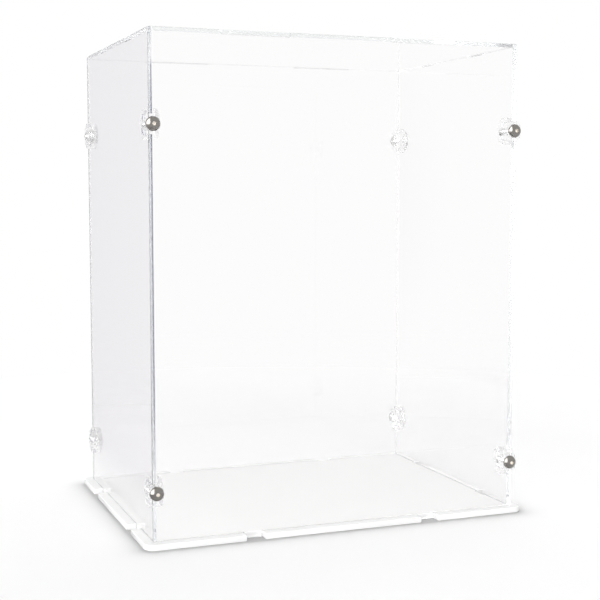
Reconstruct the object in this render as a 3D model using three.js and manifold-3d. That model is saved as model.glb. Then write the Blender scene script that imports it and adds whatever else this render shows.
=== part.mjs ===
// Clear knock-down display case that stands on a white base plate.
//
// Four wall panels and a lift-out top panel, all clear sheet, meet in finger joints. Clear studs at
// two heights of each vertical edge hold the walls square: each stud sits in a notch of a side wall,
// and a dome-head screw clamps the front or back wall between the stud and its cap.
// Tabs under the walls drop into open notches of the base plate, so that the whole cover lifts off.
//
// Millimetres, +Z up. The origin is the centre of the base plate's underside, the front faces -Y.

import * as THREE from 'three';
import { mergeVertices } from 'three/addons/utils/BufferGeometryUtils.js';
import Module from 'manifold-3d';

// ---- driving dimensions -------------------------------------------------------------------------

const CASE_WIDTH = 322;
const CASE_DEPTH = 232;
const CASE_HEIGHT = 400;
const PANEL = 3;

const BASE_THICKNESS = 5;
const BASE_OVERHANG = 8;
const BASE_CORNER_RADIUS = 9;

// Clearance left between pieces that touch on the real object.
const GAP = 0.3;
const SEAT_GAP = 0.2;

// Finger joints of the top panel: each wall's middle tab, and the fingers on both sides of it.
const FRONT_MIDDLE_TAB = 90;
const FRONT_FINGER = 58;
const SIDE_MIDDLE_TAB = 72;
const SIDE_FINGER = 22;

// Locating tabs under the walls, which drop into the base plate's notches.
const TAB_WIDTH = 15;
const TAB_DEPTH = 4.5;
const FRONT_TAB_X = 78;
const SIDE_TAB_Y = 65;

// Studs: discs with their axis along X, cut by the walls.
const STUD_HEIGHTS = { lower: 39, upper: 326.5 };
const STUD_RADIUS = 12;
const STUD_THICKNESS = 10.7;
const STUD_OUTSIDE = 2.7;
const STUD_CENTRE_DEPTH = 8.3;
const STUD_CHAMFER = 0.8;
const STUD_CORE_HALF = 7.3;
const STUD_CORE_RADIUS = 10.9;
const CAP_FLOOR = 0.9;
const NUT_POCKET_DEPTH = 15.2;

// Dome-head screw with a hexagon socket, and its hexagon nut.
const SCREW_HEAD_RADIUS = 5.75;
const SCREW_HEAD_HEIGHT = 4.6;
const SCREW_HEAD_RIM = 0.7;
const SCREW_RADIUS = 2;
const SCREW_LENGTH = 20;
const SCREW_TIP_CHAMFER = 0.6;
const SOCKET_RADIUS = 1.6;
const SOCKET_DEPTH = 1.8;
const NUT_RADIUS = 4.04;
const NUT_THICKNESS = 3.2;
const NUT_POCKET_RADIUS = 4.4;

// Sides of the round forms.
const DISC_SIDES = 28;
const HEAD_SIDES = 20;
const DOME_STEPS = 4;
const BORE_SIDES = 10;
const HEXAGON = 6;
const CURVE_SEGMENTS = 5;

// ---- places worked out from them ----------------------------------------------------------------

const HALF_WIDTH = CASE_WIDTH / 2;
const HALF_DEPTH = CASE_DEPTH / 2;
const WALL_BOTTOM = BASE_THICKNESS + SEAT_GAP;
const CASE_TOP = BASE_THICKNESS + CASE_HEIGHT;
const TOP_UNDERSIDE = CASE_TOP - PANEL;
const SCREW_INSET = STUD_THICKNESS / 2 - STUD_OUTSIDE;
const SCREW_CLEAR_RADIUS = SCREW_RADIUS + GAP;
const HEAD_SEAT = -(SEAT_GAP + CAP_FLOOR);
const HEAD_BASE = HEAD_SEAT - SEAT_GAP;
const SCREW_TIP = HEAD_BASE + SCREW_LENGTH;

// ---- materials ----------------------------------------------------------------------------------

function clearAcrylic() {
  return new THREE.MeshStandardMaterial({
    color: 0xf2f6f7,
    roughness: 0.04,
    metalness: 0,
    transparent: true,
    opacity: 0.25,
  });
}

function whiteAcrylic() {
  return new THREE.MeshStandardMaterial({ color: 0xf7f7f5, roughness: 0.12, metalness: 0 });
}

function chrome() {
  return new THREE.MeshStandardMaterial({ color: 0xc9c9c6, roughness: 0.08, metalness: 1 });
}

// ---- solids -------------------------------------------------------------------------------------

const wasm = await Module();
wasm.setup();

function toSolid(geometry) {
  const bare = geometry.clone();
  bare.deleteAttribute('normal');
  bare.deleteAttribute('uv');
  const merged = mergeVertices(bare);
  return new wasm.Manifold(new wasm.Mesh({
    numProp: 3,
    vertProperties: Float32Array.from(merged.attributes.position.array),
    triVerts: Uint32Array.from(merged.index.array),
  }));
}

function toGeometry(solid) {
  const { vertProperties, triVerts } = solid.getMesh();
  const geometry = new THREE.BufferGeometry();
  geometry.setAttribute('position', new THREE.BufferAttribute(vertProperties, 3));
  geometry.setIndex(new THREE.BufferAttribute(triVerts, 1));
  geometry.computeVertexNormals();
  return geometry;
}

// A box from its lowest to its highest corner.
function boxSolid(low, high) {
  const size = high.map((value, axis) => value - low[axis]);
  const centre = high.map((value, axis) => (value + low[axis]) / 2);
  return toSolid(new THREE.BoxGeometry(...size).translate(...centre));
}

// A cylinder or prism on the screw's axis, along Y from one depth to another. A prism of six sides
// lies with two flats level.
function rodSolid(radius, sides, from, to) {
  const rod = new THREE.CylinderGeometry(radius, radius, to - from, sides);
  rod.rotateY(Math.PI / 2);
  return toSolid(rod.translate(SCREW_INSET, (from + to) / 2, 0));
}

function named(name, geometry, material) {
  const mesh = new THREE.Mesh(geometry, material);
  mesh.name = name;
  return mesh;
}

// ---- flat panels --------------------------------------------------------------------------------

// One step of an outline: out to a depth between two places along an edge, and back.
// `run` turns (distance along the edge, depth into the sheet) into a point.
function stepOutline(shape, run, from, to, depth) {
  for (const [along, into] of [[from, 0], [from, depth], [to, depth], [to, 0]]) {
    shape.lineTo(...run(along, into));
  }
}

// The slot that a screw passes through, open at a vertical edge and round at its inner end.
function screwSlot(shape, side, halfLength, height) {
  const centre = side * (halfLength - SCREW_INSET);
  const quarterTurn = side * Math.PI / 2;
  shape.lineTo(side * halfLength, height - side * SCREW_CLEAR_RADIUS);
  shape.lineTo(centre, height - side * SCREW_CLEAR_RADIUS);
  shape.absarc(centre, height, SCREW_CLEAR_RADIUS, -quarterTurn, quarterTurn, true);
  shape.lineTo(side * halfLength, height + side * SCREW_CLEAR_RADIUS);
}

// The notch that a stud's core sits in: open at a vertical edge, with an inner end round the disc.
function studNotch(shape, side, halfLength, height) {
  const half = STUD_CORE_HALF + GAP;
  const radius = STUD_CORE_RADIUS + GAP;
  const centre = side * (HALF_DEPTH - STUD_CENTRE_DEPTH);
  const spread = Math.asin(half / radius);
  const inwards = side > 0 ? Math.PI : 0;
  shape.lineTo(side * halfLength, height - side * half);
  shape.absarc(centre, height, radius, inwards + spread, inwards - spread, true);
  shape.lineTo(side * halfLength, height + side * half);
}

// A wall's outline, drawn counter-clockwise with x along the wall and y up.
function wallShape({ halfLength, tabPlace, middleTab, finger, cutEdge }) {
  const heights = Object.values(STUD_HEIGHTS).map((height) => BASE_THICKNESS + height);
  const fingerGapDepth = PANEL + GAP;
  const gapStart = middleTab / 2;
  const gapEnd = gapStart + finger;
  const alongBottom = (along, into) => [along, WALL_BOTTOM + into];
  const alongTop = (along, into) => [-along, CASE_TOP - into];
  const shape = new THREE.Shape();
  shape.moveTo(-halfLength, WALL_BOTTOM);
  for (const centre of [-tabPlace, tabPlace]) {
    stepOutline(shape, alongBottom, centre - TAB_WIDTH / 2, centre + TAB_WIDTH / 2, -TAB_DEPTH);
  }
  shape.lineTo(halfLength, WALL_BOTTOM);
  for (const height of heights) {
    cutEdge(shape, 1, halfLength, height);
  }
  shape.lineTo(halfLength, CASE_TOP);
  stepOutline(shape, alongTop, -gapEnd, -gapStart, fingerGapDepth);
  stepOutline(shape, alongTop, gapStart, gapEnd, fingerGapDepth);
  shape.lineTo(-halfLength, CASE_TOP);
  for (const height of heights.toReversed()) {
    cutEdge(shape, -1, halfLength, height);
  }
  shape.closePath();
  return shape;
}

function sheet(shape, thickness) {
  return new THREE.ExtrudeGeometry(shape, {
    depth: thickness,
    bevelEnabled: false,
    curveSegments: CURVE_SEGMENTS,
  });
}

// The front or back wall, which covers the side walls' ends.
function longWall(name, outerFace) {
  const shape = wallShape({
    halfLength: HALF_WIDTH,
    tabPlace: FRONT_TAB_X,
    middleTab: FRONT_MIDDLE_TAB,
    finger: FRONT_FINGER,
    cutEdge: screwSlot,
  });
  const wall = named(name, sheet(shape, PANEL), clearAcrylic());
  wall.rotation.x = Math.PI / 2;
  wall.position.y = outerFace < 0 ? outerFace + PANEL : outerFace;
  return wall;
}

// The left or right wall, which fits between the front and back walls.
function sideWall(name, innermostX) {
  const shape = wallShape({
    halfLength: HALF_DEPTH - PANEL - GAP,
    tabPlace: SIDE_TAB_Y,
    middleTab: SIDE_MIDDLE_TAB,
    finger: SIDE_FINGER,
    cutEdge: studNotch,
  });
  const wall = named(name, sheet(shape, PANEL), clearAcrylic());
  const turn = new THREE.Matrix4().makeBasis(
    new THREE.Vector3(0, 1, 0),
    new THREE.Vector3(0, 0, 1),
    new THREE.Vector3(1, 0, 0),
  );
  wall.quaternion.setFromRotationMatrix(turn);
  wall.position.x = innermostX;
  return wall;
}

// The top panel lies inside the walls, and its fingers reach out into their gaps.
function topPanel() {
  const halfX = HALF_WIDTH - PANEL - GAP;
  const halfY = HALF_DEPTH - PANEL - GAP;
  const reach = PANEL + GAP;
  const edges = [
    { run: (along, out) => [along, -halfY - out], middle: FRONT_MIDDLE_TAB, finger: FRONT_FINGER },
    { run: (along, out) => [halfX + out, along], middle: SIDE_MIDDLE_TAB, finger: SIDE_FINGER },
    { run: (along, out) => [-along, halfY + out], middle: FRONT_MIDDLE_TAB, finger: FRONT_FINGER },
    { run: (along, out) => [-halfX - out, -along], middle: SIDE_MIDDLE_TAB, finger: SIDE_FINGER },
  ];
  const corners = [[-halfX, -halfY], [halfX, -halfY], [halfX, halfY], [-halfX, halfY]];
  const shape = new THREE.Shape();
  edges.forEach(({ run, middle, finger }, side) => {
    const start = middle / 2 + GAP;
    const end = middle / 2 + finger - GAP;
    if (side === 0) {
      shape.moveTo(...corners[side]);
    } else {
      shape.lineTo(...corners[side]);
    }
    stepOutline(shape, run, -end, -start, reach);
    stepOutline(shape, run, start, end, reach);
  });
  shape.closePath();
  const panel = named('top_panel', sheet(shape, PANEL), clearAcrylic());
  panel.position.z = TOP_UNDERSIDE;
  return panel;
}

// The white plate under the case: round corners, and two open notches in each edge.
function basePlate() {
  const halfX = HALF_WIDTH + BASE_OVERHANG;
  const halfY = HALF_DEPTH + BASE_OVERHANG;
  const radius = BASE_CORNER_RADIUS;
  const notchDepth = BASE_OVERHANG + PANEL + GAP;
  const notchHalf = TAB_WIDTH / 2 + GAP;
  const edges = [
    { run: (along, into) => [along, -halfY + into], place: FRONT_TAB_X, length: halfX },
    { run: (along, into) => [halfX - into, along], place: SIDE_TAB_Y, length: halfY },
    { run: (along, into) => [-along, halfY - into], place: FRONT_TAB_X, length: halfX },
    { run: (along, into) => [-halfX + into, -along], place: SIDE_TAB_Y, length: halfY },
  ];
  const shape = new THREE.Shape();
  shape.moveTo(...edges[0].run(radius - edges[0].length, 0));
  edges.forEach(({ run, place, length }, side) => {
    for (const centre of [-place, place]) {
      stepOutline(shape, run, centre - notchHalf, centre + notchHalf, notchDepth);
    }
    shape.lineTo(...run(length - radius, 0));
    const [cornerX, cornerY] = run(length - radius, radius);
    const start = (side - 1) * Math.PI / 2;
    shape.absarc(cornerX, cornerY, radius, start, start + Math.PI / 2, false);
  });
  shape.closePath();
  return named('base_plate', sheet(shape, BASE_THICKNESS), whiteAcrylic());
}

// ---- studs and fasteners ------------------------------------------------------------------------
// Drawn at a corner of the case: the origin is on the outer vertical edge at the stud's height,
// +X runs inwards along the case's width and +Y inwards along its depth.

function studDisc() {
  const rim = STUD_RADIUS - STUD_CHAMFER;
  const half = STUD_THICKNESS / 2;
  const profile = [
    [0, -half],
    [rim, -half],
    [STUD_RADIUS, STUD_CHAMFER - half],
    [STUD_RADIUS, half - STUD_CHAMFER],
    [rim, half],
    [0, half],
  ];
  return discSolid(profile);
}

// A solid turned about the stud's axis from a profile of radius and distance along it.
function discSolid(profile) {
  const points = profile.map((point) => new THREE.Vector2(...point));
  const disc = new THREE.LatheGeometry(points, DISC_SIDES).rotateZ(-Math.PI / 2);
  return toSolid(disc.translate(SCREW_INSET, STUD_CENTRE_DEPTH, 0));
}

// The part of the stud in front of the wall, with a flat seat for the screw's head.
function capGeometry() {
  const front = STUD_CENTRE_DEPTH - STUD_RADIUS - 1;
  const reach = 2 * STUD_RADIUS;
  const ahead = boxSolid([-reach, front, -reach], [reach, -SEAT_GAP, reach]);
  const seat = rodSolid(SCREW_HEAD_RADIUS + GAP, HEAD_SIDES, front, HEAD_SEAT);
  const bore = rodSolid(SCREW_CLEAR_RADIUS, BORE_SIDES, front, 0);
  return toGeometry(studDisc().intersect(ahead).subtract(seat).subtract(bore));
}

// The part behind the wall: two cheeks beside the side wall, joined by a core in its notch.
function studGeometry() {
  const reach = 2 * STUD_RADIUS;
  const far = STUD_CENTRE_DEPTH + reach;
  const half = STUD_THICKNESS;
  const behind = boxSolid([-reach, PANEL + SEAT_GAP, -reach], [reach, far, reach]);
  const coreHeight = boxSolid([-reach, 0, -STUD_CORE_HALF], [reach, far, STUD_CORE_HALF]);
  const coreDisc = discSolid([[0, -half], [STUD_CORE_RADIUS, -half], [STUD_CORE_RADIUS, half], [0, half]]);
  const core = coreDisc.intersect(coreHeight);
  const slot = boxSolid([-GAP, 0, -reach], [PANEL + GAP, far, reach]).subtract(core);
  const bore = rodSolid(SCREW_CLEAR_RADIUS, BORE_SIDES, 0, far);
  const pocket = rodSolid(NUT_POCKET_RADIUS, HEXAGON, NUT_POCKET_DEPTH, far);
  const stud = studDisc().intersect(behind).subtract(slot);
  return toGeometry(stud.subtract(bore).subtract(pocket));
}

function screwGeometry() {
  const rimPlane = HEAD_BASE - SCREW_HEAD_RIM;
  const domeHeight = SCREW_HEAD_HEIGHT - SCREW_HEAD_RIM;
  const profile = [];
  for (let step = 0; step <= DOME_STEPS; step += 1) {
    const angle = (step / DOME_STEPS) * Math.PI / 2;
    profile.push([SCREW_HEAD_RADIUS * Math.sin(angle), rimPlane - domeHeight * Math.cos(angle)]);
  }
  profile.push(
    [SCREW_HEAD_RADIUS, HEAD_BASE],
    [SCREW_RADIUS, HEAD_BASE],
    [SCREW_RADIUS, SCREW_TIP - SCREW_TIP_CHAMFER],
    [SCREW_RADIUS - SCREW_TIP_CHAMFER, SCREW_TIP],
    [0, SCREW_TIP],
  );
  const points = profile.map(([radius, depth]) => new THREE.Vector2(Math.abs(radius), depth));
  const screw = new THREE.LatheGeometry(points, HEAD_SIDES).translate(SCREW_INSET, 0, 0);
  const apex = HEAD_BASE - SCREW_HEAD_HEIGHT;
  const socket = rodSolid(SOCKET_RADIUS, HEXAGON, apex - 1, apex + SOCKET_DEPTH);
  return toGeometry(toSolid(screw).subtract(socket));
}

function nutGeometry() {
  const face = NUT_POCKET_DEPTH + SEAT_GAP;
  const hexagon = rodSolid(NUT_RADIUS, HEXAGON, face, face + NUT_THICKNESS);
  const thread = rodSolid(SCREW_CLEAR_RADIUS, BORE_SIDES, 0, 2 * face);
  return toGeometry(hexagon.subtract(thread));
}

// Each corner turns the front left one half way round an axis, so nothing is mirrored.
const CORNERS = {
  front_left: { x: -HALF_WIDTH, y: -HALF_DEPTH, turn: [0, 0, 0] },
  front_right: { x: HALF_WIDTH, y: -HALF_DEPTH, turn: [0, Math.PI, 0] },
  back_left: { x: -HALF_WIDTH, y: HALF_DEPTH, turn: [Math.PI, 0, 0] },
  back_right: { x: HALF_WIDTH, y: HALF_DEPTH, turn: [0, 0, Math.PI] },
};

function connector(place, { x, y, turn }, height) {
  const group = new THREE.Group();
  group.add(
    named(`stud_${place}`, studGeometry(), clearAcrylic()),
    named(`stud_cap_${place}`, capGeometry(), clearAcrylic()),
    named(`screw_${place}`, screwGeometry(), chrome()),
    named(`nut_${place}`, nutGeometry(), chrome()),
  );
  group.position.set(x, y, BASE_THICKNESS + height);
  group.rotation.set(...turn);
  return group;
}

// ---- the display case ---------------------------------------------------------------------------

const displayCase = new THREE.Group();
displayCase.add(
  basePlate(),
  longWall('front_panel', -HALF_DEPTH),
  longWall('back_panel', HALF_DEPTH),
  sideWall('left_panel', -HALF_WIDTH),
  sideWall('right_panel', HALF_WIDTH - PANEL),
  topPanel(),
);
for (const [corner, placing] of Object.entries(CORNERS)) {
  for (const [level, height] of Object.entries(STUD_HEIGHTS)) {
    displayCase.add(connector(`${corner}_${level}`, placing, height));
  }
}

export default displayCase;
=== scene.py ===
# A clear knock-down display case on a white base plate, in a plain white studio.
# Metres, +Z up. The origin is the centre of the base plate's underside, the front faces -Y.

import math

import bmesh
import bpy
from mathutils import Euler, Matrix, Vector


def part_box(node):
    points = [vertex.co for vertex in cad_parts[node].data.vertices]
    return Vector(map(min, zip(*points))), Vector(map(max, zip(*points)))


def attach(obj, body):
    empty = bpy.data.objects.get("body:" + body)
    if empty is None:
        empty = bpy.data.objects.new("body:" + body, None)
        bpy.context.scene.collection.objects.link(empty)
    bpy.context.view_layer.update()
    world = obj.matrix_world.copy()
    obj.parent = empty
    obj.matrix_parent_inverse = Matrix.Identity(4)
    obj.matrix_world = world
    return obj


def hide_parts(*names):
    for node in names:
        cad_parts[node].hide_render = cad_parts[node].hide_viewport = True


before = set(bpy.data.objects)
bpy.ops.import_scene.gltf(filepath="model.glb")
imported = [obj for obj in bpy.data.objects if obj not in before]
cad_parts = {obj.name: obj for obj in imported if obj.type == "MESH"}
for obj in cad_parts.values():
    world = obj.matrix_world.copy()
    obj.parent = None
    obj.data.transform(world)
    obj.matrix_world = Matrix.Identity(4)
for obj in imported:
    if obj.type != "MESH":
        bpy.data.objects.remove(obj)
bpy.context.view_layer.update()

MM = 0.001

# ---- driving sizes ------------------------------------------------------------------------------

PANEL = 3 * MM
GAP = 0.3 * MM
SEAT_GAP = 0.2 * MM

BASE_OVERHANG = 8 * MM
BASE_CORNER_RADIUS = 9 * MM
BASE_EDGE_ROUND = 0.7 * MM
TAB_WIDTH = 15 * MM
FRONT_TAB_X = 78 * MM
SIDE_TAB_Y = 65 * MM
NOTCH_CORNER_RADIUS = 1.0 * MM

SHEET_EDGE_ROUND = 0.22 * MM

STUD_RADIUS = 12 * MM
STUD_THICKNESS = 10.7 * MM
STUD_OUTSIDE = 2.7 * MM
STUD_CENTRE_DEPTH = 8.3 * MM
STUD_RIM_ROUND = 1.1 * MM
STUD_CORE_HALF = 7.3 * MM
STUD_CORE_RADIUS = 10.9 * MM
CAP_FLOOR = 0.9 * MM
NUT_POCKET_DEPTH = 15.2 * MM
NUT_POCKET_RADIUS = 4.4 * MM

SCREW_HEAD_RADIUS = 5.75 * MM
SCREW_HEAD_HEIGHT = 4.6 * MM
SCREW_HEAD_RIM = 0.7 * MM
SCREW_RADIUS = 2 * MM
SCREW_LENGTH = 20 * MM
THREAD_PITCH = 0.7 * MM
THREAD_DEPTH = 0.4 * MM
SOCKET_RADIUS = 1.6 * MM
SOCKET_DEPTH = 1.8 * MM
NUT_RADIUS = 4.04 * MM
NUT_THICKNESS = 3.2 * MM
NUT_CHAMFER = 0.5 * MM

FULL_TURN = 2 * math.pi
HALF_TURN = math.pi
QUARTER_TURN = math.pi / 2

ROUND_STEPS = 96
HEAD_STEPS = 64
THREAD_STEPS = 24
THREAD_ROWS = 6
HEXAGON = 6
ARC_STEPS = 12
NOTCH_ARC_STEPS = 4
RIM_ARC_STEPS = 6
BASE_ROUND_SEGMENTS = 3
SHEET_ROUND_SEGMENTS = 2

# Two points of a CAD panel this close are one, and two faces this near to flat, in degrees.
WELD_DISTANCE = 0.01 * MM
FLAT_ANGLE = 1

# Edges with at least this many degrees between their faces are rounded.
ROUNDED_FROM = 40

# Faces that meet at fewer degrees than this are shaded as one.
BASE_SMOOTHING = 35
SHEET_SMOOTHING = 40
STUD_SMOOTHING = 30
SCREW_SMOOTHING = 38
NUT_SMOOTHING = 25

SCREW_INSET = STUD_THICKNESS / 2 - STUD_OUTSIDE
SCREW_CLEAR_RADIUS = SCREW_RADIUS + GAP
HEAD_SEAT = -(SEAT_GAP + CAP_FLOOR)
HEAD_BASE = HEAD_SEAT - SEAT_GAP
SCREW_TIP = HEAD_BASE + SCREW_LENGTH


# ---- mesh helpers -------------------------------------------------------------------------------

def polar(radius, angle):
    """X and Y of a point on a circle, at an angle in radians."""
    return radius * math.cos(angle), radius * math.sin(angle)


def new_object(name, data):
    thing = bpy.data.objects.new(name, data)
    bpy.context.scene.collection.objects.link(thing)
    return thing


def to_mesh(shape, name):
    bmesh.ops.recalc_face_normals(shape, faces=shape.faces)
    mesh = bpy.data.meshes.new(name)
    shape.to_mesh(mesh)
    shape.free()
    return mesh


def turned(profile, steps, turn=0.0):
    """A closed form turned about Z from (radius, height) points that start and end on the axis."""
    shape = bmesh.new()
    angles = [turn + FULL_TURN * step / steps for step in range(steps)]
    rings = []
    for radius, height in profile:
        if radius == 0:
            rings.append([shape.verts.new((0, 0, height))])
        else:
            rings.append([shape.verts.new((*polar(radius, angle), height)) for angle in angles])
    for lower, upper in zip(rings, rings[1:]):
        for step in range(steps):
            after = step + 1
            around = [
                lower[step % len(lower)],
                lower[after % len(lower)],
                upper[after % len(upper)],
                upper[step % len(upper)],
            ]
            shape.faces.new(dict.fromkeys(around))
    return shape


def rod(radius, steps, start, end, turn=0.0):
    return turned([(0, start), (radius, start), (radius, end), (0, end)], steps, turn)


def block(low, high):
    shape = bmesh.new()
    bmesh.ops.create_cube(shape, size=1)
    size = Vector(high) - Vector(low)
    centre = (Vector(high) + Vector(low)) / 2
    bmesh.ops.transform(
        shape,
        matrix=Matrix.Translation(centre) @ Matrix.Diagonal((*size, 1)),
        verts=shape.verts,
    )
    return shape


def moved(shape, matrix):
    bmesh.ops.transform(shape, matrix=matrix, verts=shape.verts)
    return shape


def combined(first, second, operation):
    """The first form cut by the second one, or what the two have in common."""
    target, tool = [new_object("form", to_mesh(shape, "form")) for shape in (first, second)]
    change = target.modifiers.new("change", "BOOLEAN")
    change.operation = operation
    change.solver = "EXACT"
    change.object = tool
    bpy.context.view_layer.update()
    depsgraph = bpy.context.evaluated_depsgraph_get()
    result = bmesh.new()
    result.from_object(target, depsgraph)
    for thing in (target, tool):
        mesh = thing.data
        bpy.data.objects.remove(thing)
        bpy.data.meshes.remove(mesh)
    return result


def smooth_by_angle(mesh, degrees):
    for polygon in mesh.polygons:
        polygon.use_smooth = True
    mesh.set_sharp_from_angle(angle=math.radians(degrees))


def round_edges(piece, width, segments):
    bevel = piece.modifiers.new("edge round", "BEVEL")
    bevel.width = width
    bevel.segments = segments
    bevel.limit_method = "ANGLE"
    bevel.angle_limit = math.radians(ROUNDED_FROM)
    bevel.harden_normals = True


def add_piece(name, mesh, material, body, node):
    """An object that rides on a body in the place of a CAD node."""
    piece = new_object(name, mesh)
    if not mesh.materials:
        mesh.materials.append(material)
    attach(piece, body)
    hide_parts(node)
    return piece


# ---- node helpers -------------------------------------------------------------------------------

class Nodes:
    """A short way to add nodes to a tree and link them."""

    def __init__(self, tree):
        self.tree = tree
        tree.nodes.clear()

    def add(self, kind, inputs=None, **settings):
        node = self.tree.nodes.new(kind)
        for key, value in settings.items():
            setattr(node, key, value)
        for key, value in (inputs or {}).items():
            if isinstance(value, bpy.types.NodeSocket):
                self.tree.links.new(value, node.inputs[key])
            else:
                node.inputs[key].default_value = value
        return node

    def noise(self, vector, scale, detail=3.0):
        inputs = {"Vector": vector, "Scale": scale, "Detail": detail}
        return self.add("ShaderNodeTexNoise", inputs).outputs["Fac"]

    def remap(self, value, low, high, to_low, to_high):
        inputs = {
            "Value": value,
            "From Min": low,
            "From Max": high,
            "To Min": to_low,
            "To Max": to_high,
        }
        return self.add("ShaderNodeMapRange", inputs).outputs["Result"]

    def math(self, operation, first, second=0.0):
        return self.add("ShaderNodeMath", {0: first, 1: second}, operation=operation).outputs[0]

    def mix(self, share, first, second):
        inputs = {"Factor": share, "A": first, "B": second}
        return self.add("ShaderNodeMix", inputs, data_type="RGBA").outputs["Result"]

    def vector_math(self, operation, first, second=(0, 0, 0), output="Vector"):
        inputs = {0: first, 1: second}
        return self.add("ShaderNodeVectorMath", inputs, operation=operation).outputs[output]

    def length(self, vector):
        return self.vector_math("LENGTH", vector, output="Value")

    def parts(self, vector):
        return self.add("ShaderNodeSeparateXYZ", {"Vector": vector}).outputs

    def bump(self, height, strength, distance):
        inputs = {"Height": height, "Strength": strength, "Distance": distance}
        return self.add("ShaderNodeBump", inputs).outputs["Normal"]


def grey(level):
    return level, level, level, 1


def new_material(name):
    material = bpy.data.materials.new(name)
    material.use_nodes = True
    nodes = Nodes(material.node_tree)
    place = nodes.add("ShaderNodeTexCoord").outputs["Object"]
    return material, nodes, place


def finish_material(nodes, inputs):
    shader = nodes.add("ShaderNodeBsdfPrincipled", inputs)
    nodes.add("ShaderNodeOutputMaterial", {"Surface": shader.outputs["BSDF"]})


# ---- materials ----------------------------------------------------------------------------------

ACRYLIC_IOR = 1.49
# Below the plastic's real index, because the studs show only faintly.
STUD_IOR = 1.12

# A surface is a broad face where its normal follows the sheet's thickness by more than
# FACE_ALIGNMENT, and a cut edge where by less than EDGE_ALIGNMENT. It is an upright edge of a side
# wall where its normal follows Y by more than UPRIGHT_ALIGNMENT.
FACE_ALIGNMENT = 0.85
EDGE_ALIGNMENT = 0.55
UPRIGHT_ALIGNMENT = 0.7

EDGE_ROUGHNESS = 0.2
SIDE_EDGE_TINT = (0.72, 0.75, 0.79)
LONG_EDGE_TINT = (0.88, 0.90, 0.90)
STRIATION_CONTRAST = 0.06
UPRIGHT_EDGE_TINT = (0.93, 0.95, 0.96, 1)

# Painted shade: a dark line on the inner side of an upright edge, for the darkness that light
# trapped inside the sheet leaves there.
PAINTED_SHADE_LINE_TINT = (0.10, 0.11, 0.17, 1)
PAINTED_SHADE_LINE_WIDTH = 1.1 * MM
# The heights at which the painted shade line is gone and is whole, at its foot and at its top.
PAINTED_SHADE_LINE_FADES = ((30 * MM, 110 * MM), (384 * MM, 376 * MM))

# The range that most of a noise texture's values lie in.
NOISE_LOW = 0.3
NOISE_HIGH = 0.7
GRAIN_DEPTH = 0.05 * MM


def painted_shade_line(nodes, place, tint, painted_shade_from):
    """The tint of an upright edge, with a dark line of painted shade where X is more than
    `painted_shade_from`.
    """
    position = nodes.parts(place)
    dark = nodes.math("GREATER_THAN", position["X"], painted_shade_from)
    for gone, whole in PAINTED_SHADE_LINE_FADES:
        dark = nodes.math("MULTIPLY", dark, nodes.remap(position["Z"], gone, whole, 0.0, 1.0))
    return nodes.mix(dark, tint, PAINTED_SHADE_LINE_TINT)


def clear_sheet(name, thickness_axis, edge_tint, upright_tint, painted_shade_from):
    """Polished clear sheet: its broad faces are clear, its cut edges frosted and tinted.

    Its upright edges have a tint of their own, and a dark line of painted shade, if they are
    given.
    """
    material, nodes, place = new_material(name)
    normal = nodes.add("ShaderNodeNewGeometry").outputs["Normal"]
    along = nodes.vector_math("DOT_PRODUCT", normal, thickness_axis, output="Value")
    edge = nodes.remap(nodes.math("ABSOLUTE", along), FACE_ALIGNMENT, EDGE_ALIGNMENT, 0.0, 1.0)
    smears = nodes.noise(place, scale=9.0)
    striations = nodes.noise(place, scale=900.0, detail=2.0)
    face_colour = nodes.mix(smears, (0.998, 0.996, 0.996, 1), (0.993, 0.991, 0.992, 1))
    lighter_tint = [part + STRIATION_CONTRAST for part in edge_tint]
    edge_colour = nodes.mix(striations, (*edge_tint, 1), (*lighter_tint, 1))
    # The painted shade line darkens the upright edges' tint.
    if painted_shade_from is not None:
        upright_tint = painted_shade_line(nodes, place, upright_tint, painted_shade_from)
    if upright_tint is not None:
        normal_y = nodes.math("ABSOLUTE", nodes.parts(normal)["Y"])
        upright = nodes.math("GREATER_THAN", normal_y, UPRIGHT_ALIGNMENT)
        edge_colour = nodes.mix(upright, edge_colour, upright_tint)
    rough_face = nodes.remap(smears, 0.5, 0.8, 0.0, 0.01)
    finish_material(nodes, {
        "Base Color": nodes.mix(edge, face_colour, edge_colour),
        "Roughness": nodes.remap(edge, 0.0, 1.0, rough_face, EDGE_ROUGHNESS),
        "IOR": ACRYLIC_IOR,
        "Transmission Weight": 1.0,
    })
    return material


def clear_stud():
    """Clear moulded plastic with faint flow clouds."""
    material, nodes, place = new_material("clear_stud")
    flow = nodes.noise(place, scale=160.0)
    finish_material(nodes, {
        "Base Color": nodes.mix(flow, grey(0.985), grey(0.965)),
        "Roughness": nodes.remap(flow, 0.4, 0.8, 0.05, 0.12),
        "IOR": STUD_IOR,
        "Transmission Weight": 1.0,
    })
    return material


def white_acrylic():
    """Opaque white sheet with a cloudy gloss and a very fine grain."""
    material, nodes, place = new_material("white_acrylic")
    cloud = nodes.noise(place, scale=14.0)
    grain = nodes.noise(place, scale=1400.0, detail=2.0)
    finish_material(nodes, {
        "Base Color": nodes.mix(cloud, (0.875, 0.875, 0.87, 1), grey(0.85)),
        "Roughness": nodes.remap(cloud, NOISE_LOW, NOISE_HIGH, 0.06, 0.14),
        "IOR": ACRYLIC_IOR,
        "Normal": nodes.bump(grain, strength=0.05, distance=GRAIN_DEPTH),
    })
    return material


def steel(name, grain_scale, light_tone, dark_tone, roughness_range, relief=0.0):
    """Metal whose colour and roughness follow a fine grain, which `relief` also raises."""
    material, nodes, place = new_material(name)
    grain = nodes.noise(place, grain_scale)
    inputs = {
        "Base Color": nodes.mix(grain, light_tone, dark_tone),
        "Metallic": 1.0,
        "Roughness": nodes.remap(grain, NOISE_LOW, NOISE_HIGH, *roughness_range),
    }
    if relief:
        inputs["Normal"] = nodes.bump(grain, relief, GRAIN_DEPTH)
    finish_material(nodes, inputs)
    return material


WHITE = white_acrylic()
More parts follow.
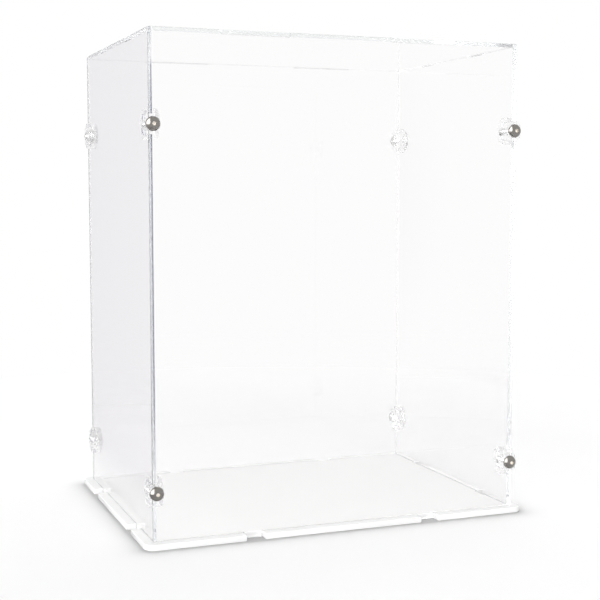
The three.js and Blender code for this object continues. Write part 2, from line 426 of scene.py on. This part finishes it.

# The screws' heads: chrome darkened all over, painted shade for the dark room that the domes
# reflect, with a trace of polishing marks.
STEEL = steel(
    "chrome_with_painted_shade",
    grain_scale=1200.0,
    light_tone=(0.28, 0.268, 0.25, 1),
    dark_tone=(0.21, 0.2, 0.188, 1),
    roughness_range=(0.05, 0.12),
    relief=0.1,
)

# The inside of a screw's socket: rough, where no polish reaches, and light and warm, a painted
# highlight for the bright warm glint there.
SOCKET_GLINT_STEEL = steel(
    "socket_steel_painted_glint",
    grain_scale=2500.0,
    light_tone=(0.86, 0.82, 0.76, 1),
    dark_tone=(0.74, 0.70, 0.65, 1),
    roughness_range=(0.35, 0.5),
)

# Bright zinc plate, for the nuts and the screws' threads.
ZINC = steel(
    "zinc_steel",
    grain_scale=700.0,
    light_tone=(0.90, 0.90, 0.89, 1),
    dark_tone=grey(0.80),
    roughness_range=(0.2, 0.35),
)

CLEAR_STUD = clear_stud()


# ---- base plate ---------------------------------------------------------------------------------

def arc(centre, radius, start, end, steps=ARC_STEPS):
    """Points of an arc between two angles in degrees."""
    points = []
    for step in range(steps + 1):
        x, y = polar(radius, math.radians(start + (end - start) * step / steps))
        points.append((centre[0] + x, centre[1] + y))
    return points


def edge_outline(half_along, half_across, notch_places):
    """One edge of the plate along +X at -Y: its notches and the round corner at its far end."""
    outer = -half_across
    inner = outer + BASE_OVERHANG + PANEL + GAP
    small = NOTCH_CORNER_RADIUS
    points = []
    for place in notch_places:
        left = place - TAB_WIDTH / 2 - GAP
        right = place + TAB_WIDTH / 2 + GAP
        points += arc((left - small, outer + small), small, -90, 0, NOTCH_ARC_STEPS)
        points += [(left, inner), (right, inner)]
        points += arc((right + small, outer + small), small, 180, 270, NOTCH_ARC_STEPS)
    corner = (half_along - BASE_CORNER_RADIUS, outer + BASE_CORNER_RADIUS)
    return points + arc(corner, BASE_CORNER_RADIUS, -90, 0)


def base_plate():
    low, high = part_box("base_plate")
    long_edge = edge_outline(high.x, high.y, (-FRONT_TAB_X, FRONT_TAB_X))
    side_edge = edge_outline(high.y, high.x, (-SIDE_TAB_Y, SIDE_TAB_Y))
    outline = []
    for turn, edge in enumerate((long_edge, side_edge, long_edge, side_edge)):
        rotation = Matrix.Rotation(math.radians(90 * turn), 2)
        outline += [rotation @ Vector(point) for point in edge]
    shape = bmesh.new()
    face = shape.faces.new([shape.verts.new((*point, low.z)) for point in outline])
    raised = bmesh.ops.extrude_face_region(shape, geom=[face])
    top = [item for item in raised["geom"] if isinstance(item, bmesh.types.BMVert)]
    bmesh.ops.translate(shape, vec=(0, 0, high.z - low.z), verts=top)
    mesh = to_mesh(shape, "base_plate_white")
    smooth_by_angle(mesh, BASE_SMOOTHING)
    piece = add_piece("base_plate_white", mesh, WHITE, "base", "base_plate")
    round_edges(piece, BASE_EDGE_ROUND, BASE_ROUND_SEGMENTS)


# ---- clear panels -------------------------------------------------------------------------------

def clear_panel(node, body, thickness_axis, edge_tint, upright_tint=None, painted_shade_from=None):
    """A panel with the CAD panel's outline, whole faces and slightly rounded edges."""
    shape = bmesh.new()
    shape.from_mesh(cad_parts[node].data)
    bmesh.ops.remove_doubles(shape, verts=shape.verts, dist=WELD_DISTANCE)
    bmesh.ops.dissolve_limit(
        shape,
        angle_limit=math.radians(FLAT_ANGLE),
        verts=shape.verts,
        edges=shape.edges,
    )
    mesh = to_mesh(shape, f"{node}_clear")
    smooth_by_angle(mesh, SHEET_SMOOTHING)
    tints = (edge_tint, upright_tint, painted_shade_from)
    material = clear_sheet(f"clear_{node}", thickness_axis, *tints)
    piece = add_piece(f"{node}_clear", mesh, material, body, node)
    round_edges(piece, SHEET_EDGE_ROUND, SHEET_ROUND_SEGMENTS)


# ---- studs and fasteners ------------------------------------------------------------------------
# Drawn at a corner of the case: the origin is on the outer vertical edge at the stud's height,
# +X runs inwards along the case's width and +Y inwards along its depth.

STUD_CENTRE = Matrix.Translation((SCREW_INSET, STUD_CENTRE_DEPTH, 0))
STUD_AXIS = STUD_CENTRE @ Matrix.Rotation(QUARTER_TURN, 4, "Y")
SCREW_AXIS = Matrix.Translation((SCREW_INSET, 0, 0)) @ Matrix.Rotation(-QUARTER_TURN, 4, "X")


def stud_disc():
    half = STUD_THICKNESS / 2
    corner = (STUD_RADIUS - STUD_RIM_ROUND, half - STUD_RIM_ROUND)
    rim = arc(corner, STUD_RIM_ROUND, 0, 90, RIM_ARC_STEPS)
    lower = [(radius, -height) for radius, height in reversed(rim)]
    return moved(turned([(0, -half), *lower, *rim, (0, half)], ROUND_STEPS), STUD_AXIS)


def screw_rod(radius, steps, start, end, turn=0.0):
    return moved(rod(radius, steps, start, end, turn), SCREW_AXIS)


def cap_mesh():
    reach = 2 * STUD_RADIUS
    front = STUD_CENTRE_DEPTH - reach
    before = block((-reach, front, -reach), (reach, -SEAT_GAP, reach))
    form = combined(stud_disc(), before, "INTERSECT")
    seat = screw_rod(SCREW_HEAD_RADIUS + GAP, HEAD_STEPS, front, HEAD_SEAT)
    form = combined(form, seat, "DIFFERENCE")
    form = combined(form, screw_rod(SCREW_CLEAR_RADIUS, HEAD_STEPS, front, 0), "DIFFERENCE")
    mesh = to_mesh(form, "stud_cap")
    smooth_by_angle(mesh, STUD_SMOOTHING)
    return mesh


def stud_mesh():
    reach = 2 * STUD_RADIUS
    far = STUD_CENTRE_DEPTH + reach
    behind = block((-reach, PANEL + SEAT_GAP, -reach), (reach, far, reach))
    core = moved(rod(STUD_CORE_RADIUS, ROUND_STEPS, -STUD_THICKNESS, STUD_THICKNESS), STUD_AXIS)
    core_height = block((-reach, 0, -STUD_CORE_HALF), (reach, far, STUD_CORE_HALF))
    core = combined(core, core_height, "INTERSECT")
    slot = combined(block((-GAP, 0, -reach), (PANEL + GAP, far, reach)), core, "DIFFERENCE")
    form = combined(stud_disc(), behind, "INTERSECT")
    form = combined(form, slot, "DIFFERENCE")
    form = combined(form, screw_rod(SCREW_CLEAR_RADIUS, HEAD_STEPS, 0, far), "DIFFERENCE")
    pocket = screw_rod(NUT_POCKET_RADIUS, HEXAGON, NUT_POCKET_DEPTH, far)
    form = combined(form, pocket, "DIFFERENCE")
    mesh = to_mesh(form, "stud")
    smooth_by_angle(mesh, STUD_SMOOTHING)
    return mesh


def thread(start, end):
    """The screw's thread: a tube whose radius rises and falls once for each pitch."""
    shape = bmesh.new()
    rows = round((end - start) / THREAD_PITCH * THREAD_ROWS)
    rings = []
    for row in range(rows + 1):
        height = start + (end - start) * row / rows
        ring = []
        for step in range(THREAD_STEPS):
            turn = step / THREAD_STEPS
            phase = (height / THREAD_PITCH - turn) % 1
            radius = SCREW_RADIUS - THREAD_DEPTH * abs(2 * phase - 1)
            ring.append(shape.verts.new((*polar(radius, FULL_TURN * turn), height)))
        rings.append(ring)
    for lower, upper in zip(rings, rings[1:]):
        for step in range(THREAD_STEPS):
            after = (step + 1) % THREAD_STEPS
            shape.faces.new((lower[step], lower[after], upper[after], upper[step]))
    shape.faces.new(reversed(rings[0]))
    shape.faces.new(rings[-1])
    return shape


def screw_mesh():
    rim_plane = HEAD_BASE - SCREW_HEAD_RIM
    dome = SCREW_HEAD_HEIGHT - SCREW_HEAD_RIM
    profile = []
    for step in range(ARC_STEPS + 1):
        angle = QUARTER_TURN * step / ARC_STEPS
        profile.append((SCREW_HEAD_RADIUS * math.sin(angle), rim_plane - dome * math.cos(angle)))
    profile += [(SCREW_HEAD_RADIUS, HEAD_BASE), (0, HEAD_BASE)]
    head = moved(turned(profile, HEAD_STEPS), SCREW_AXIS)
    apex = HEAD_BASE - SCREW_HEAD_HEIGHT
    socket = screw_rod(SOCKET_RADIUS, HEXAGON, apex - MM, apex + SOCKET_DEPTH)
    form = combined(head, socket, "DIFFERENCE")
    shank = bpy.data.meshes.new("shank")
    threaded = moved(thread(HEAD_BASE - SEAT_GAP, SCREW_TIP), SCREW_AXIS)
    threaded.to_mesh(shank)
    threaded.free()
    form.from_mesh(shank)
    bpy.data.meshes.remove(shank)
    mesh = to_mesh(form, "screw")
    smooth_by_angle(mesh, SCREW_SMOOTHING)
    finishes = (STEEL, SOCKET_GLINT_STEEL, ZINC)
    for material in finishes:
        mesh.materials.append(material)
    for polygon in mesh.polygons:
        across = Vector((polygon.center.x - SCREW_INSET, polygon.center.z)).length
        if polygon.center.y > HEAD_BASE - SEAT_GAP / 2:
            polygon.material_index = finishes.index(ZINC)
        # Faces inside the socket take the finish with the painted highlight.
        elif polygon.center.y < HEAD_BASE - MM and across < SOCKET_RADIUS:
            polygon.material_index = finishes.index(SOCKET_GLINT_STEEL)
    return mesh


def nut_mesh():
    face = NUT_POCKET_DEPTH + SEAT_GAP
    back = face + NUT_THICKNESS
    flat_radius = NUT_RADIUS - NUT_CHAMFER
    barrel = turned(
        [
            (0, face),
            (flat_radius, face),
            (NUT_RADIUS, face + NUT_CHAMFER / 2),
            (NUT_RADIUS, back - NUT_CHAMFER / 2),
            (flat_radius, back),
            (0, back),
        ],
        HEAD_STEPS,
    )
    prism = screw_rod(NUT_RADIUS, HEXAGON, face, back)
    form = combined(prism, moved(barrel, SCREW_AXIS), "INTERSECT")
    hole = screw_rod(SCREW_CLEAR_RADIUS, THREAD_STEPS, face - MM, back + MM)
    mesh = to_mesh(combined(form, hole, "DIFFERENCE"), "nut")
    smooth_by_angle(mesh, NUT_SMOOTHING)
    return mesh


def corner_places():
    """Where each corner's studs are drawn from: a half turn of the front left one."""
    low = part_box("front_panel")[0]
    high = Vector((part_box("front_panel")[1].x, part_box("back_panel")[1].y, 0))
    turns = {
        "front_left": (low.x, low.y, Matrix.Identity(4)),
        "front_right": (high.x, low.y, Matrix.Rotation(HALF_TURN, 4, "Y")),
        "back_left": (low.x, high.y, Matrix.Rotation(HALF_TURN, 4, "X")),
        "back_right": (high.x, high.y, Matrix.Rotation(HALF_TURN, 4, "Z")),
    }
    for corner, (x, y, turn) in turns.items():
        for level in ("lower", "upper"):
            place = f"{corner}_{level}"
            low_screw, high_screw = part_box(f"screw_{place}")
            height = (low_screw.z + high_screw.z) / 2
            yield place, Matrix.Translation((x, y, height)) @ turn


def connectors():
    parts = {
        "stud": (stud_mesh(), CLEAR_STUD, "clear_acrylic"),
        "stud_cap": (cap_mesh(), CLEAR_STUD, "clear_acrylic"),
        "screw": (screw_mesh(), STEEL, "chromed_steel"),
        "nut": (nut_mesh(), ZINC, "chromed_steel"),
    }
    for place, matrix in corner_places():
        for part, (mesh, material, slot) in parts.items():
            node = f"{part}_{place}"
            copy = mesh.copy()
            copy.transform(matrix)
            add_piece(f"{node}_fine", copy, material, "cover", node)


# ---- studio -------------------------------------------------------------------------------------

BACKDROP = 0.985
# The grey of a dim card in the surroundings behind the case, and of the painted shade on the floor
# that reflections see.
CARD_AND_PAINTED_SHADE_TONE = (0.72, 0.705, 0.74, 1)

# Distances from the origin. Up to NEAR_FLOOR the floor is lit, by FAR_FLOOR it is an even white
# and by FLOOR_END it has faded out. Reflections see it fade out sooner.
NEAR_FLOOR = 0.40
FAR_FLOOR = 0.85
FLOOR_END = 1.3
REFLECTED_FLOOR = 0.45
REFLECTED_END = 0.75

# A grey patch painted on the floor left of the case, which only reflections see: painted shade for
# the darker reflection in the left wall.
PAINTED_SHADE_PATCH = (0.68, 0.665, 0.70, 1)
SHADE_PATCH_EDGE = -0.17
SHADE_PATCH_FADE = 0.04

# A contact shadow painted into the floor's colour round the plate: its shift, its corners' radius,
# how far it fades and how dark it is.
SHADOW_SHIFT = (-1.5 * MM, -2 * MM, 0)
SHADOW_CORNER = 10 * MM
SHADOW_FADE = 6 * MM
SHADOW_DEPTH = 0.45


def happened(nodes, bounces):
    """1 where the number of a ray's bounces of one kind isn't 0."""
    return nodes.math("GREATER_THAN", bounces, 0.5)


def painted_contact_shadow(nodes, place):
    """Painted contact shadow: the share of the floor's colour that is kept, which falls off
    towards the plate's rounded rectangle.
    """
    half_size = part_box("base_plate")[1]
    core = (half_size.x - SHADOW_CORNER, half_size.y - SHADOW_CORNER, 0)
    from_centre = nodes.vector_math("ABSOLUTE", nodes.vector_math("SUBTRACT", place, SHADOW_SHIFT))
    outside = nodes.vector_math("MAXIMUM", nodes.vector_math("SUBTRACT", from_centre, core))
    reach = nodes.math("SUBTRACT", nodes.length(outside), SHADOW_CORNER)
    fall = nodes.math("POWER", math.e, nodes.math("DIVIDE", reach, -SHADOW_FADE))
    shade = nodes.math("MULTIPLY", nodes.math("MINIMUM", fall, 1.0), SHADOW_DEPTH)
    return nodes.math("SUBTRACT", 1.0, shade)


def studio_floor():
    """White ground with a painted soft contact shadow and painted shade that the clear sheets
    show, which turns into the white surroundings.
    """
    material, nodes, place = new_material("studio_floor")
    path = nodes.add("ShaderNodeLightPath").outputs
    mirrored = happened(nodes, path["Glossy Depth"])

    cloud = nodes.noise(place, scale=3.0)
    seen_tone = nodes.mix(cloud, grey(0.93), grey(0.92))
    # Painted shade: rays other than the camera's, as through and in the clear sheets, see a darker
    # floor.
    painted_shade_tone = nodes.mix(cloud, (0.895, 0.895, 0.90, 1), (0.88, 0.88, 0.885, 1))
    # Painted shade: a grey patch left of the case, for reflections only.
    shade_patch = nodes.remap(nodes.parts(place)["X"], SHADE_PATCH_EDGE, SHADE_PATCH_EDGE - SHADE_PATCH_FADE, 0.0, 1.0)
    shade_patch = nodes.math("MULTIPLY", shade_patch, mirrored)
    painted_shade_tone = nodes.mix(shade_patch, painted_shade_tone, PAINTED_SHADE_PATCH)
    tone = nodes.mix(path["Is Camera Ray"], painted_shade_tone, seen_tone)

    distance = nodes.length(place)
    near = nodes.remap(distance, NEAR_FLOOR, FAR_FLOOR, 1.0, 0.0)
    # The painted contact shadow darkens the floor's colour.
    light_with_painted_shadow = nodes.math("MULTIPLY", painted_contact_shadow(nodes, place), near)
    # Where the floor fades it glows with the backdrop's grey, and with painted shade in the patch.
    backdrop_and_painted_shade = nodes.mix(shade_patch, grey(BACKDROP), CARD_AND_PAINTED_SHADE_TONE)

    whole = nodes.remap(distance, FAR_FLOOR, FLOOR_END, 1.0, 0.0)
    mirrored_whole = nodes.remap(distance, REFLECTED_FLOOR, REFLECTED_END, 1.0, 0.0)
    direct = nodes.math("SUBTRACT", 1.0, mirrored)
    finish_material(nodes, {
        "Base Color": nodes.mix(light_with_painted_shadow, grey(0), tone),
        "Roughness": 0.9,
        "Specular IOR Level": nodes.math("MULTIPLY", near, 0.1),
        "Emission Color": nodes.mix(path["Is Camera Ray"], backdrop_and_painted_shade, grey(1)),
        "Emission Strength": nodes.math("SUBTRACT", 1.0, near),
        "Alpha": nodes.math("MINIMUM", whole, nodes.math("MAXIMUM", mirrored_whole, direct)),
    })
    return material


def floor():
    shape = bmesh.new()
    bmesh.ops.create_circle(shape, cap_ends=True, radius=FLOOR_END, segments=ROUND_STEPS)
    mesh = to_mesh(shape, "floor")
    mesh.materials.append(studio_floor())
    ground = new_object("floor", mesh)


def toward(azimuth, elevation):
    """A direction: azimuth 0 is +Y, 90 is +X."""
    across = math.cos(math.radians(elevation))
    turn = math.radians(azimuth)
    height = math.sin(math.radians(elevation))
    return Vector((across * math.sin(turn), across * math.cos(turn), height))


# Each light: its direction, the degrees from it within which it is whole, the degrees at which it
# is gone, and its colour. The first table is a tall soft lamp at the left and a grey card behind
# the case, the second a soft light overhead and a low fill round the front left.
REFLECTED_LIGHTS = (
    (toward(-85, 16), 22, 28, grey(5.0)),
    (toward(-122, 16), 22, 28, grey(5.0)),
    (toward(-104, 40), 20, 26, grey(5.0)),
    (toward(-13, 0), 9, 15, CARD_AND_PAINTED_SHADE_TONE),
)
MATT_LIGHTS = (
    (toward(30, 68), 25, 50, grey(1.8)),
    (toward(-95, 3), 12, 32, grey(4.7)),
    (toward(-135, 3), 12, 32, grey(4.7)),
    (toward(-175, 3), 12, 32, grey(4.7)),
)
AMBIENT = 0.25


def surroundings():
    """White to the camera and nearly so through clear sheets, with lights for the other rays.

    Mirrored rays see REFLECTED_LIGHTS, and rays that a matt surface scatters see MATT_LIGHTS.
    """
    world = bpy.data.worlds.new("studio")
    bpy.context.scene.world = world
    world.cycles.sampling_method = "NONE"
    world.use_nodes = True
    nodes = Nodes(world.node_tree)
    direction = nodes.add("ShaderNodeTexCoord").outputs["Generated"]

    def lobe(centre, whole_angle, gone_angle):
        near = nodes.vector_math("DOT_PRODUCT", direction, centre, output="Value")
        gone, whole = (math.cos(math.radians(angle)) for angle in (gone_angle, whole_angle))
        return nodes.remap(near, gone, whole, 0.0, 1.0)

    def sky(base, lights):
        colour = grey(base)
        for centre, whole_angle, gone_angle, light in lights:
            colour = nodes.mix(lobe(centre, whole_angle, gone_angle), colour, light)
        return colour

    path = nodes.add("ShaderNodeLightPath").outputs
    mirrored = happened(nodes, path["Glossy Depth"])
    scattered = happened(nodes, path["Diffuse Depth"])
    colour = nodes.mix(mirrored, grey(BACKDROP), sky(BACKDROP, REFLECTED_LIGHTS))
    colour = nodes.mix(scattered, colour, sky(AMBIENT, MATT_LIGHTS))
    colour = nodes.mix(path["Is Camera Ray"], colour, grey(1))
    light = nodes.add("ShaderNodeBackground", {"Color": colour, "Strength": 1.0})
    nodes.add("ShaderNodeOutputWorld", {"Surface": light.outputs["Background"]})


# ---- camera and light paths ---------------------------------------------------------------------

CAMERA_PLACE = Vector((-0.3946, -1.0391, 0.2800))
CAMERA_YAW = 21.148
CAMERA_PITCH = 5.053
CAMERA_LENS = 73.7
SENSOR = 36

# A ray crosses several sheets and a stud, and is mirrored many times inside an edge.
CLEAR_BOUNCES = 96
FADED_FLOOR_BOUNCES = 32


def camera():
    lens = bpy.data.cameras.new("camera")
    lens.lens = CAMERA_LENS
    lens.sensor_width = SENSOR
    view = new_object("camera", lens)
    view.location = CAMERA_PLACE
    view.rotation_euler = Euler((math.radians(90 - CAMERA_PITCH), 0, math.radians(-CAMERA_YAW)))
    bpy.context.scene.camera = view


def light_paths():
    scene = bpy.context.scene
    scene.view_settings.view_transform = "Standard"
    scene.cycles.max_bounces = CLEAR_BOUNCES
    scene.cycles.transmission_bounces = CLEAR_BOUNCES
    scene.cycles.glossy_bounces = CLEAR_BOUNCES
    scene.cycles.transparent_max_bounces = FADED_FLOOR_BOUNCES
    scene.cycles.blur_glossy = 0.0
    scene.cycles.use_denoising = True


# ---- the display case ---------------------------------------------------------------------------

X_AXIS, Y_AXIS, Z_AXIS = (1, 0, 0), (0, 1, 0), (0, 0, 1)

base_plate()
clear_panel("front_panel", "cover", Y_AXIS, LONG_EDGE_TINT)
clear_panel("back_panel", "cover", Y_AXIS, LONG_EDGE_TINT)
# Only the left wall's front edge gets the dark line of painted shade.
clear_panel(
    "left_panel",
    "cover",
    X_AXIS,
    SIDE_EDGE_TINT,
    UPRIGHT_EDGE_TINT,
    painted_shade_from=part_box("left_panel")[1].x - PAINTED_SHADE_LINE_WIDTH,
)
clear_panel("right_panel", "cover", X_AXIS, SIDE_EDGE_TINT, UPRIGHT_EDGE_TINT)
clear_panel("top_panel", "top", Z_AXIS, LONG_EDGE_TINT)
connectors()
floor()
surroundings()
camera()
light_paths()
